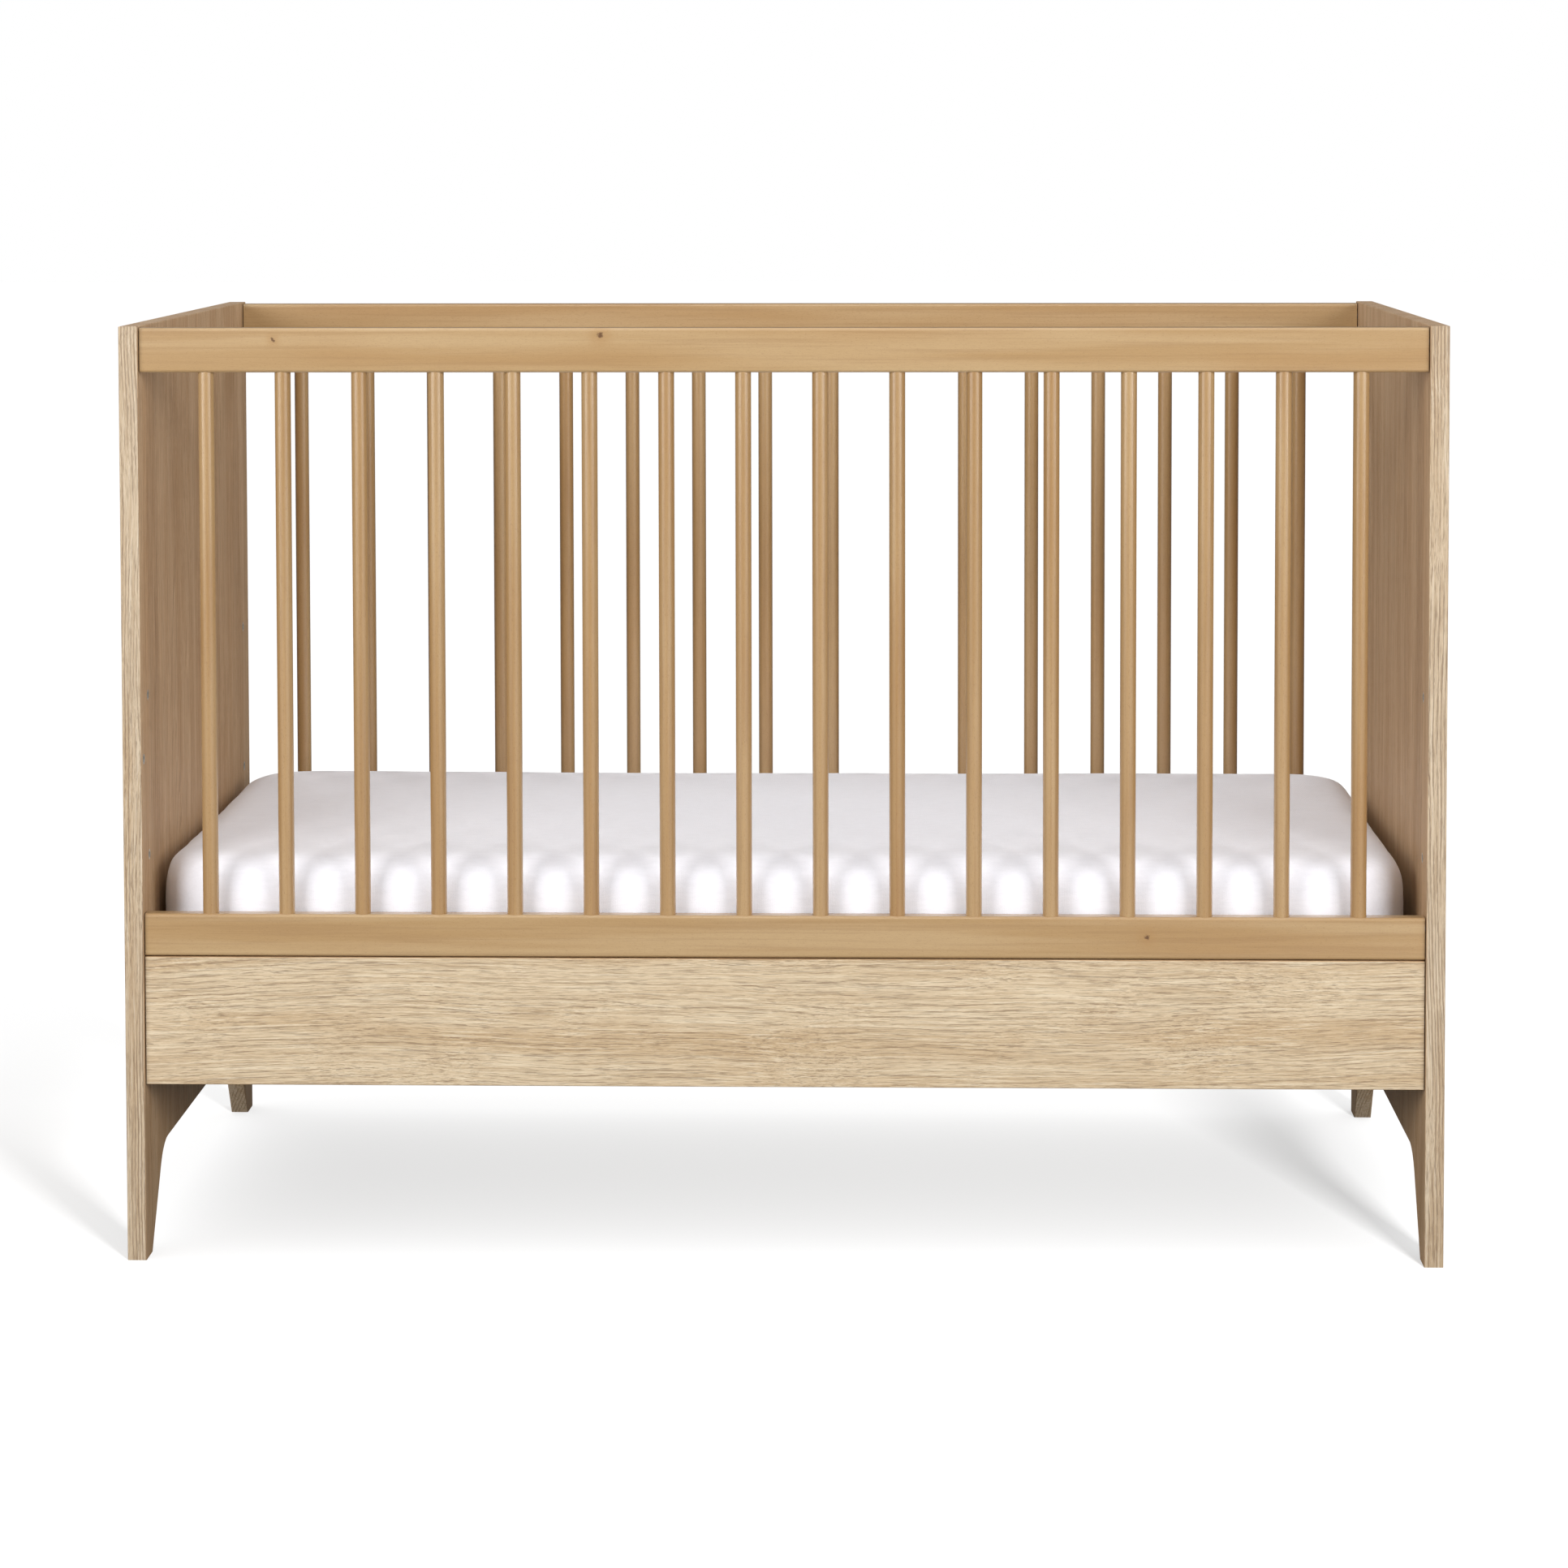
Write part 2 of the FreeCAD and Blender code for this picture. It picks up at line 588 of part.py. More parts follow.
def make_base_slats():
    """Twelve cross slats on top of the long rails, one row of equal solids."""
    body = new_body("base_slats", ("0", "-overall_depth / 2", SLAT_Z))
    sketch = new_sketch(body, "slat_outline", "XY_Plane")
    low = "(overall_depth - slat_length) / 2"
    add_rectangle(sketch, f"-{FIRST_SLAT} - slat_width / 2", low, f"-{FIRST_SLAT} + slat_width / 2",
                  f"{low} + slat_length")
    slat = pad(body, "slat", sketch, "slat_height")
    holes = bores(body, "screw_holes", "XY_Plane", "slat_height", SLAT_SCREW_PLACES,
                  "slat_screw_radius + screw_room", "slat_height")
    recesses = bores(body, "screw_recesses", "XY_Plane", "slat_height", SLAT_SCREW_PLACES,
                     "slat_screw_head + screw_room", "screw_head_height + 0.2")
    repeat(body, [slat, holes, recesses], "slat_row", "X_Axis", "(slat_count - 1) * slat_pitch", "slat_count")
    return body


def make_slat_screws():
    """Twenty-four screws that hold the slats to the long rails."""
    body = new_body("slat_screws", ("0", "-overall_depth / 2", SLAT_Z))
    heads = studs(body, "heads", "XY_Plane", "slat_height - screw_head_height - 0.1", SLAT_SCREW_PLACES,
                  "slat_screw_head", "screw_head_height")
    shanks = studs(body, "shanks", "XY_Plane", "slat_height - slat_screw_length", SLAT_SCREW_PLACES,
                   "slat_screw_radius", "slat_screw_length - screw_head_height")
    repeat(body, [heads, shanks], "screw_row", "X_Axis", "(slat_count - 1) * slat_pitch", "slat_count")
    return body


def make_base_frame_screws():
    """Eight screws, two through each end of a cross rail into a long rail."""
    body = new_body("base_frame_screws", ("0", "-overall_depth / 2", BASE_Z))
    places = both_sides(LONG_RAIL_AXIS, FRAME_SCREW_UPS)
    start = f"(-{BASE_END_X} + 0.1)"
    heads = studs(body, "heads", "YZ_Plane", start, places, "frame_screw_head", "screw_head_height")
    shanks = studs(body, "shanks", "YZ_Plane", f"{start} + screw_head_height - 0.1", places,
                   "frame_screw_radius", "frame_screw_length - screw_head_height")
    mirror(body, [heads, shanks], "right_side")
    return body


# ---------------------------------------------------------------- mattress and sheet


def rounded_block(label, low_z, length, width, height, corner, edge):
    """A block with rounded corners in plan and a rounded top edge, centred on the crib."""
    body = new_body(label, (f"-({length}) / 2", f"-({width}) / 2", low_z))
    sketch = new_sketch(body, "plan", "XY_Plane")
    add_rectangle(sketch, "0", "0", length, width)
    pad(body, "block", sketch, height)
    round_edges(body, "plan_corners", corner, lambda item: runs_along(item, 2))
    top = number(height)
    round_edges(body, "top_edge", edge, lambda item: in_plane(item, 2, top))
    return body


def make_mattress():
    """The foam core in its cover."""
    body = rounded_block("mattress", MATTRESS_Z, "mattress_length", "mattress_width", "mattress_height",
                         "mattress_corner", "mattress_edge")
    round_edges(body, "bottom_edge", "mattress_low_edge", lambda item: in_plane(item, 2, 0))
    return body


def make_fitted_sheet():
    """The sheet over the core's top and sides, as a thin shell that is open below."""
    grow = "(sheet_thickness + sheet_room)"
    height = f"mattress_height + {grow} - sheet_lift"
    body = rounded_block("fitted_sheet", f"{MATTRESS_Z} + sheet_lift", f"mattress_length + 2 * {grow}",
                         f"mattress_width + 2 * {grow}", height, f"mattress_corner + {grow}",
                         f"mattress_edge + {grow}")
    base = body.Tip
    bottom = [f"Face{place}" for place, face in enumerate(base.Shape.Faces, start=1)
              if abs(face.BoundBox.ZMax) < 1e-4]
    shell = body.newObject("PartDesign::Thickness", "sheet_shell")
    shell.Base = (base, bottom)
    shell.Reversed = True
    shell.setExpression("Value", formula("sheet_thickness"))
    doc.recompute()
    assert shell.Shape.Volume < 0.2 * base.Shape.Volume, "the sheet is not a thin shell"
    return body


# ---------------------------------------------------------------- assembly

pieces = [
    make_end_panel("end_panel_left", True),
    make_end_panel("end_panel_right", False),
]
for side in ("front", "back"):
    pieces += [make_rail(side, "top"), make_rail(side, "bottom"), make_apron(side)]
    pieces += make_spindles(side)
    pieces.append(make_base_long_rail(side))
pieces += [
    make_base_end_rail("base_end_rail_left", True),
    make_base_end_rail("base_end_rail_right", False),
    make_base_slats(),
    make_slat_screws(),
    make_base_frame_screws(),
    make_connector_bolts(),
    make_barrel_nuts(),
    make_rail_dowels(),
    make_height_insert_nuts(),
    make_safety_rail_insert(),
    make_base_bolts(),
    make_base_washers(),
    make_mattress(),
    make_fitted_sheet(),
]
doc.recompute()

for thing in doc.Objects:
    assert not {"Invalid", "Error"} & set(thing.State), f"{thing.Label}: {thing.State}"
for piece in pieces:
    assert not piece.Shape.isNull() and piece.Shape.isValid(), f"{piece.Label}: bad shape"

SOLIDS = {
    "base_slats": 12, "slat_screws": 24, "base_frame_screws": 8, "connector_bolts": 12, "barrel_nuts": 12,
    "rail_dowels": 16, "height_insert_nuts": 12, "base_bolts": 4, "base_washers": 4,
}
for piece in pieces:
    solids = len(piece.Shape.Solids)
    assert solids == SOLIDS.get(piece.Label, 1), f"{piece.Label}: {solids} solids"
    piece.Shape.exportStep(f"parts/{piece.Label}.step")
print(f"{len(pieces)} nodes, {sum(len(piece.Shape.Solids) for piece in pieces)} solids")
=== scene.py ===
import math

import bmesh
import bpy
from mathutils import Matrix, Vector, noise


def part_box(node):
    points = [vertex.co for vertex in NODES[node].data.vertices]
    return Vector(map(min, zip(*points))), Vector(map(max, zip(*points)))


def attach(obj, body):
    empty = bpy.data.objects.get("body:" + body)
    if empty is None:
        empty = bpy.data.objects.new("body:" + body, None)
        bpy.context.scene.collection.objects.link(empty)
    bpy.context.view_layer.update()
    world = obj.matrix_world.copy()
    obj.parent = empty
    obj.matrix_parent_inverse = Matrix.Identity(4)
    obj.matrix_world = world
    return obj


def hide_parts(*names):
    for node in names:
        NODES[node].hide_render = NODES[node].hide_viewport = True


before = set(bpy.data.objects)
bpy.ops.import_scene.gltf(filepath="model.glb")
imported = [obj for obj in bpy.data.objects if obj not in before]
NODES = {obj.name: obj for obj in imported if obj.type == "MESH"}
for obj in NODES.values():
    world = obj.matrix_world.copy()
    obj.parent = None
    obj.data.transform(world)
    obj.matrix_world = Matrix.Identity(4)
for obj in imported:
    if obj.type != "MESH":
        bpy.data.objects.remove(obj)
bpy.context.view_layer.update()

SCENE = bpy.context.scene

# ---------------------------------------------------------------- camera

SENSOR = 36                                  # millimetres
LENS = 97.1                                  # millimetres
DOWNWARD_SHIFT = -0.2493                     # in frame widths, so that the camera can stay nearly level
CAMERA_PLACE = (0.1154, -4.2695, 1.0489)     # metres
CAMERA_PITCH = -3.2568                       # degrees
CAMERA_ROLL = 0.0957                         # degrees
CAMERA_YAW = 1.6385                          # degrees
CAMERA_REACH = 60                            # metres


def make_camera():
    """A frontal view from a little above the top rail, shifted down until the crib is in the frame."""
    data = bpy.data.cameras.new("camera")
    camera = bpy.data.objects.new("camera", data)
    SCENE.collection.objects.link(camera)
    yaw = Matrix.Rotation(math.radians(CAMERA_YAW), 3, "Z")
    pitch = Matrix.Rotation(math.radians(CAMERA_PITCH), 3, "X")
    roll = Matrix.Rotation(math.radians(CAMERA_ROLL), 3, "Y")
    level = Matrix.Rotation(math.radians(90), 3, "X")
    facing = yaw @ pitch @ roll @ level
    camera.matrix_world = Matrix.Translation(CAMERA_PLACE) @ facing.to_4x4()
    data.sensor_width = SENSOR
    data.lens = LENS
    data.shift_y = DOWNWARD_SHIFT
    data.clip_end = CAMERA_REACH
    SCENE.camera = camera


make_camera()

# ---------------------------------------------------------------- shader helpers

# The Mix node's colour sockets, which come after its sockets for numbers and vectors.
MIX_FACTOR = 0
MIX_FIRST = 6
MIX_SECOND = 7
MIX_RESULT = 2


def along_grain(axis, across, along):
    """A scale vector: fine across the grain and coarse along it, in cycles per metre."""
    return tuple(along if letter == axis else across for letter in "XYZ")


class Shader:
    """Builds one node material, node by node."""

    def __init__(self, name):
        self.material = bpy.data.materials.new(name)
        self.material.use_nodes = True
        self.tree = self.material.node_tree
        self.tree.nodes.clear()

    def add(self, kind, values=None, **settings):
        """A new node, with each input linked to a socket or set to a value."""
        node = self.tree.nodes.new(kind)
        for key, value in settings.items():
            setattr(node, key, value)
        for key, value in (values or {}).items():
            self.feed(node.inputs[key], value)
        return node

    def feed(self, socket, value):
        if isinstance(value, bpy.types.NodeSocket):
            self.tree.links.new(value, socket)
        elif socket.type == "RGBA" and len(value) == 3:
            socket.default_value = (*value, 1.0)
        else:
            socket.default_value = value

    def place(self):
        return self.add("ShaderNodeTexCoord").outputs["Object"]

    def normal(self):
        return self.add("ShaderNodeNewGeometry").outputs["True Normal"]

    def scaled(self, vector, scale, turn=(0, 0, 0)):
        values = {"Vector": vector, "Scale": scale, "Rotation": turn}
        return self.add("ShaderNodeMapping", values).outputs["Vector"]

    def noise(self, vector, detail=2.0, roughness=0.5, colour=False):
        values = {"Vector": vector, "Scale": 1.0, "Detail": detail, "Roughness": roughness}
        node = self.add("ShaderNodeTexNoise", values)
        return node.outputs["Color" if colour else "Fac"]

    def grain(self, vector, axis, cycles, detail=2.0, roughness=0.5, colour=False, turn=(0, 0, 0)):
        """Noise drawn out along an axis; cycles holds the cycles per metre across and along it."""
        scale = along_grain(axis, *cycles)
        return self.noise(self.scaled(vector, scale, turn), detail, roughness, colour)

    def ramp(self, value, low, high, out_low=0.0, out_high=1.0):
        """A clamped smooth step from low to high."""
        values = {
            "Value": value, "From Min": low, "From Max": high, "To Min": out_low, "To Max": out_high}
        node = self.add("ShaderNodeMapRange", values, interpolation_type="SMOOTHSTEP")
        return node.outputs["Result"]

    def maths(self, operation, first, second=0.0):
        return self.add("ShaderNodeMath", {0: first, 1: second}, operation=operation).outputs[0]

    def vector_maths(self, operation, first, second):
        return self.add("ShaderNodeVectorMath", {0: first, 1: second}, operation=operation).outputs[0]

    def distance(self, first, second):
        node = self.add("ShaderNodeVectorMath", {0: first, 1: second}, operation="DISTANCE")
        return node.outputs["Value"]

    def parts(self, vector):
        """The X, Y and Z outputs of a vector."""
        return self.add("ShaderNodeSeparateXYZ", {0: vector}).outputs

    def mix(self, factor, first, second, blend="MIX"):
        node = self.add("ShaderNodeMix", data_type="RGBA", blend_type=blend, clamp_result=True)
        self.feed(node.inputs[MIX_FACTOR], factor)
        self.feed(node.inputs[MIX_FIRST], first)
        self.feed(node.inputs[MIX_SECOND], second)
        return node.outputs[MIX_RESULT]

    def layer(self, colour, paint, value, start, full, weight=1.0):
        """Paint over a colour: none where the value is at start, up to the weight where it is at full."""
        return self.mix(self.ramp(value, start, full, 0.0, weight), colour, paint)

    def tinted(self, colour, tint, share=1.0):
        return self.mix(share, colour, tint, blend="MULTIPLY")

    def bump(self, height, depth, strength):
        """A normal from a height map; depth is in metres."""
        values = {"Height": height, "Distance": depth, "Strength": strength}
        return self.add("ShaderNodeBump", values).outputs["Normal"]

    def finish(self, **values):
        """The surface shader, its inputs named with _ for a space."""
        inputs = {key.replace("_", " "): value for key, value in values.items()}
        surface = self.add("ShaderNodeBsdfPrincipled", inputs)
        output = self.add("ShaderNodeOutputMaterial")
        self.tree.links.new(surface.outputs[0], output.inputs["Surface"])
        return self.material


def linear(red, green, blue):
    """A colour given as it looks on a screen, from 0 to 255."""
    def channel(value):
        value /= 255
        return value / 12.92 if value <= 0.04045 else ((value + 0.055) / 1.055) ** 2.4
    return tuple(channel(value) for value in (red, green, blue))


def shaded(tint, share):
    """A darker shade of a colour."""
    return tuple(part * share for part in tint)


# ---------------------------------------------------------------- oak decor board

OAK_CREAM = linear(230, 214, 188)
OAK_PALE = linear(213, 191, 160)
OAK_TAN = linear(200, 173, 138)
OAK_BROWN = linear(168, 138, 103)
OAK_PORE = linear(112, 84, 60)
OAK_PAINTED_SIDE_SHADE = (0.95, 0.80, 0.65)           # painted shade: the browner, darker tint of the faces that look sideways

# Noise scales, in cycles per metre across and along the grain.
OAK_DRIFT = (7, 2.2)
OAK_WANDER = (7, 1.6)
OAK_RIPPLE = (130, 60)
OAK_BREAKS = (90, 5)
OAK_TONES = (34, 1.8)
OAK_STRANDS = (560, 9)
OAK_PORES = (2300, 40)
OAK_FIBRES = (2600, 120)

DRIFT_METRES = 0.030                         # how far the fibres stray from straight
WANDER_LINES = 9.0                           # how far the growth lines stray, in line spacings
RIPPLE_LINES = 0.4                           # how rough their edges are, in line spacings
LINE_SLANT = 0.4                             # how far the growth lines lean from front to back
PORE_STRENGTH = 0.26                         # on the wide faces
PORE_STRENGTH_AT_FRONT = 0.30                # added on the faces that look forwards and back
PORE_DEPTH = 0.00015


def growth_lines(shader, place, bent, axis, across, spacing, weight):
    """Broken lines, one to a growth ring, spaced out in the direction given as across."""
    wander = shader.grain(place, axis, OAK_WANDER, detail=3.0)
    ripple = shader.grain(place, axis, OAK_RIPPLE, detail=3.0, roughness=0.75)
    breaks = shader.grain(bent, axis, OAK_BREAKS, roughness=0.6)
    parts = shader.parts(bent)
    height = shader.maths("ADD", parts[across], shader.maths("MULTIPLY", parts["Y"], LINE_SLANT))
    height = shader.maths("ADD", height, shader.maths("MULTIPLY", wander, spacing * WANDER_LINES))
    height = shader.maths("ADD", height, shader.maths("MULTIPLY", ripple, spacing * RIPPLE_LINES))
    rings = shader.maths("FRACT", shader.maths("MULTIPLY", height, 1 / spacing))
    slow_start = shader.ramp(rings, 0.50, 0.85)
    sharp_end = shader.ramp(rings, 1.0, 0.88)
    line = shader.maths("MULTIPLY", slow_start, sharp_end)
    return shader.maths("MULTIPLY", line, shader.ramp(breaks, 0.36, 0.60, 0.0, weight))


def oak_decor(name, axis, across, line_spacing, line_weight, tint):
    """Oak decor board: growth lines made of dark pores, over fine fibres that run along one axis.

    The narrow edges, which face forwards and back, carry a bolder print than the wide upright faces. The
    faces that look sideways get painted shade, a browner and darker tint.
    """
    shader = Shader(name)
    place = shader.place()
    forwards = shader.maths("ABSOLUTE", shader.parts(shader.normal())["Y"])
    show_face = shader.ramp(forwards, 0.6, 0.9)

    drift = shader.grain(place, axis, OAK_DRIFT, colour=True)
    drift = shader.vector_maths("MULTIPLY", drift, along_grain(axis, DRIFT_METRES, 0))
    bent = shader.vector_maths("ADD", place, drift)
    ring_line = growth_lines(shader, place, bent, axis, across, line_spacing, line_weight)

    tones = shader.grain(bent, axis, OAK_TONES)
    strands = shader.grain(bent, axis, OAK_STRANDS, roughness=0.6)
    pores = shader.grain(bent, axis, OAK_PORES, roughness=0.6)
    fibres = shader.grain(bent, axis, OAK_FIBRES, roughness=0.7)

    colour = shader.layer(OAK_PALE, OAK_TAN, tones, 0.38, 0.62)
    colour = shader.layer(colour, OAK_BROWN, strands, 0.46, 0.68, 0.46)
    colour = shader.layer(colour, OAK_CREAM, strands, 0.46, 0.32, 0.55)
    colour = shader.layer(colour, OAK_BROWN, fibres, 0.40, 0.75, 0.30)
    colour = shader.layer(colour, OAK_CREAM, fibres, 0.44, 0.26, 0.55)
    pore_mask = shader.ramp(shader.maths("ADD", pores, ring_line), 0.56, 0.66)
    strength = shader.maths("MULTIPLY", show_face, PORE_STRENGTH_AT_FRONT)
    strength = shader.maths("ADD", PORE_STRENGTH, strength)
    colour = shader.mix(shader.maths("MULTIPLY", pore_mask, strength), colour, OAK_PORE)
    # painted shade: the faces that look sideways are tinted browner and darker
    painted_side_shade = shader.maths("SUBTRACT", 1.0, show_face)
    colour = shader.tinted(colour, OAK_PAINTED_SIDE_SHADE, painted_side_shade)
    # the whole board's tint; on the upright boards it is painted shade, darker than the apron
    colour = shader.tinted(colour, tint)
    relief = shader.maths("SUBTRACT", shader.maths("MULTIPLY", fibres, 0.3), pore_mask)
    return shader.finish(
        Base_Color=colour,
        Roughness=shader.ramp(pores, 0.3, 0.7, 0.50, 0.62),
        Normal=shader.bump(relief, PORE_DEPTH, 0.7),
        Specular_IOR_Level=0.45,
    )


# ---------------------------------------------------------------- solid woods

BEECH_LIGHT = linear(188, 158, 116)
BEECH_HONEY = linear(176, 142, 96)
BEECH_RED = linear(168, 128, 78)
BEECH_FLECK = linear(134, 94, 58)
KNOT_BROWN = linear(92, 56, 26)

# Noise scales, in cycles per metre across and along the grain.
BEECH_PATCHES = (22, 4.0)
BEECH_BANDS = (55, 2.2)
BEECH_RINGS = (300, 5.0)
BEECH_FLECKS = (1700, 420)
BEECH_FIBRES = (2600, 90)
KNOT_OUTLINE = (500, 300)

BAND_SLANT = (0.03, 0.02, 0.03)              # radians
RING_SLANT = (0.09, 0.06, 0.09)              # radians

RAIL_FRONT = -0.323                          # Y of the front faces of the rails
RAGGED = 0.0065                              # metres that noise pushes a knot's outline about
KNOTS = [                                    # X, Z and radius of the small knots in the front rails
    (-0.1695, 0.8785, 0.0028),
    (0.3425, 0.3120, 0.0023),
    (-0.4770, 0.8740, 0.0017),
]


def with_knots(shader, colour, place, axis):
    """Small dark knots, each with a ragged outline and a reddish halo, on the front rails."""
    ragged = shader.grain(place, axis, KNOT_OUTLINE, detail=3.0, roughness=0.6, colour=True)
    ragged = shader.vector_maths("MULTIPLY", ragged, (RAGGED,) * 3)
    ragged = shader.vector_maths("ADD", place, ragged)
    for x, z, radius in KNOTS:
        centre = (x + RAGGED / 2, RAIL_FRONT + RAGGED / 2, z + RAGGED / 2)
        away = shader.distance(ragged, centre)
        colour = shader.layer(colour, BEECH_RED, away, radius * 6.0, radius, 0.45)
        colour = shader.layer(colour, KNOT_BROWN, away, radius * 1.4, radius * 0.4, 0.9)
    return colour


def beech(name, axis, tint):
    """Lacquered solid wood: honey tan with faint reddish patches, slanting rings and short flecks."""
    shader = Shader(name)
    place = shader.place()
    patches = shader.grain(place, axis, BEECH_PATCHES, detail=1.0)
    bands = shader.grain(place, axis, BEECH_BANDS, turn=BAND_SLANT)
    rings = shader.grain(place, axis, BEECH_RINGS, roughness=0.6, turn=RING_SLANT)
    flecks = shader.grain(place, axis, BEECH_FLECKS, detail=1.0)
    fibres = shader.grain(place, axis, BEECH_FIBRES, roughness=0.6)

    colour = shader.layer(BEECH_LIGHT, BEECH_HONEY, bands, 0.35, 0.65)
    colour = shader.layer(colour, BEECH_RED, patches, 0.46, 0.72, 0.40)
    colour = shader.layer(colour, BEECH_FLECK, rings, 0.50, 0.64, 0.16)
    colour = shader.layer(colour, BEECH_FLECK, fibres, 0.35, 0.75, 0.14)
    colour = shader.layer(colour, BEECH_FLECK, flecks, 0.60, 0.72, 0.30)
    colour = with_knots(shader, colour, place, axis)
    # the whole wood's tint; on the spindles it is painted shade, darker and browner than the rails
    colour = shader.tinted(colour, tint)
    return shader.finish(
        Base_Color=colour,
        Roughness=shader.ramp(fibres, 0.2, 0.8, 0.40, 0.50),
        Normal=shader.bump(fibres, 0.00004, 0.5),
        Specular_IOR_Level=0.5,
        Coat_Weight=0.8,
        Coat_Roughness=0.20,
    )


SOFTWOOD_EARLY = linear(226, 203, 164)
SOFTWOOD_LATE = linear(198, 164, 118)
SOFTWOOD_FIBRE = linear(172, 136, 94)

# Noise scales, in cycles per metre across and along the grain.
SOFTWOOD_RINGS = (170, 2.0)
SOFTWOOD_FIBRES = (1400, 60)

SOFTWOOD_SLANT = (0.02, 0.02, 0.02)          # radians


def softwood(name, axis):
    """Unfinished pale wood of the mattress base, with clear early and late wood."""
    shader = Shader(name)
    place = shader.place()
    rings = shader.grain(place, axis, SOFTWOOD_RINGS, turn=SOFTWOOD_SLANT)
    fibres = shader.grain(place, axis, SOFTWOOD_FIBRES, roughness=0.6)
    colour = shader.layer(SOFTWOOD_EARLY, SOFTWOOD_LATE, rings, 0.45, 0.62)
    colour = shader.layer(colour, SOFTWOOD_FIBRE, fibres, 0.35, 0.75, 0.20)
    return shader.finish(
        Base_Color=colour,
        Roughness=shader.ramp(rings, 0.3, 0.7, 0.55, 0.68),
        Normal=shader.bump(fibres, 0.0001, 0.5),
    )


# ---------------------------------------------------------------- metal and knitted cloth

# Noise scales along X, Y and Z, in cycles per metre.
METAL_MARKS = (3200, 500, 500)
METAL_STAINS = (90, 90, 90)
KNIT_WOBBLE = (35, 35, 35)
KNIT_FUZZ = (1300, 1300, 1300)
KNIT_SLUBS = (60, 260, 260)
PAPER_GRAIN = (300, 300, 300)

WOBBLE_METRES = 0.004                        # how far the columns and rows of loops stray


def metal(name, tint, roughness):
    """Plated steel with fine turning marks."""
    shader = Shader(name)
    place = shader.place()
    marks = shader.noise(shader.scaled(place, METAL_MARKS), roughness=0.6)
    stains = shader.noise(shader.scaled(place, METAL_STAINS), roughness=0.6)
    return shader.finish(
        Base_Color=shader.layer(tint, shaded(tint, 0.72), stains, 0.4, 0.7, 0.5),
        Metallic=0.8,
        Roughness=shader.ramp(marks, 0.3, 0.7, roughness, roughness + 0.14),
        Normal=shader.bump(marks, 0.00003, 0.4),
    )


def jersey(name, tint, wale, course, depth):
    """Fine knit: columns of loops along the cloth, crossed by rows, blurred by fuzz.

    The wale and the course are the spacings of the columns and the rows, in metres.
    """
    shader = Shader(name)
    place = shader.place()
    wobble = shader.noise(shader.scaled(place, KNIT_WOBBLE), colour=True)
    wobble = shader.vector_maths("MULTIPLY", wobble, (WOBBLE_METRES,) * 3)
    parts = shader.parts(shader.vector_maths("ADD", place, wobble))
    around = shader.maths("ADD", parts["Y"], parts["Z"])
    column = shader.maths("SINE", shader.maths("MULTIPLY", parts["X"], 2 * math.pi / wale))
    row = shader.maths("SINE", shader.maths("MULTIPLY", around, 2 * math.pi / course))
    fuzz = shader.noise(shader.scaled(place, KNIT_FUZZ), detail=3.0, roughness=0.7)
    slubs = shader.noise(shader.scaled(place, KNIT_SLUBS), detail=3.0, roughness=0.6)
    loops = shader.maths("MULTIPLY", shader.maths("ADD", column, row), 0.25)
    height = shader.maths("ADD", loops, shader.maths("MULTIPLY", fuzz, 1.6))
    colour = shader.layer(tint, shaded(tint, 0.94), slubs, 0.42, 0.68, 0.5)
    colour = shader.layer(colour, shaded(tint, 0.88), fuzz, 0.50, 0.30, 0.5)
    return shader.finish(
        Base_Color=colour,
        Roughness=shader.ramp(slubs, 0.3, 0.7, 0.82, 0.95),
        Normal=shader.bump(height, depth, 0.5),
        Sheen_Weight=0.25,
        Sheen_Roughness=0.5,
        Specular_IOR_Level=0.2,
    )


# ---------------------------------------------------------------- materials of the CAD pieces

# painted shade: the upright boards' tint makes them darker than the apron's copy of the same decor
OAK_UP = oak_decor(
    "oak_decor_upright", "Z", "X", line_spacing=0.0034, line_weight=0.34, tint=(0.86, 0.87, 0.90))
OAK_ALONG = oak_decor(
    "oak_decor_lengthwise", "X", "Z", line_spacing=0.0060, line_weight=0.12, tint=(0.98, 1.0, 1.0))
BEECH_ALONG = beech("beech_lengthwise", "X", tint=(0.95, 0.95, 0.93))
# painted shade: the spindles' tint makes them darker and browner than the rails' copy of the same beech
BEECH_UP = beech("beech_upright", "Z", tint=(0.90, 0.85, 0.76))
BASE_ALONG = softwood("base_wood_lengthwise", "X")
BASE_ACROSS = softwood("base_wood_crosswise", "Y")
STEEL = metal("steel_fittings", linear(196, 196, 198), roughness=0.28)
ZINC = metal("zinc_inserts", linear(206, 203, 194), roughness=0.34)
JERSEY = jersey(
    "sheet_jersey_knit", linear(243, 243, 250), wale=0.0014, course=0.0011, depth=0.0002)
TICKING = jersey(
    "mattress_cover_knit", linear(232, 229, 224), wale=0.0040, course=0.0030, depth=0.0005)


def material_of(name):
    """The material of the CAD piece with this name."""
    if name.startswith("end_panel"):
        return OAK_UP
    if name.endswith("apron"):
        return OAK_ALONG
    if "spindle" in name or name == "rail_dowels":
        return BEECH_UP
    if name in ("base_slats", "base_end_rail_left", "base_end_rail_right"):
        return BASE_ACROSS
    if name.startswith("base_long_rail"):
        return BASE_ALONG
    if name.endswith("_rail"):
        return BEECH_ALONG
    if "insert" in name:
        return ZINC
    if name in ("mattress", "fitted_sheet"):
        return JERSEY
    return STEEL


for name, node in NODES.items():
    for slot in node.material_slots:
        slot.material = material_of(name)

# ---------------------------------------------------------------- mattress and fitted sheet

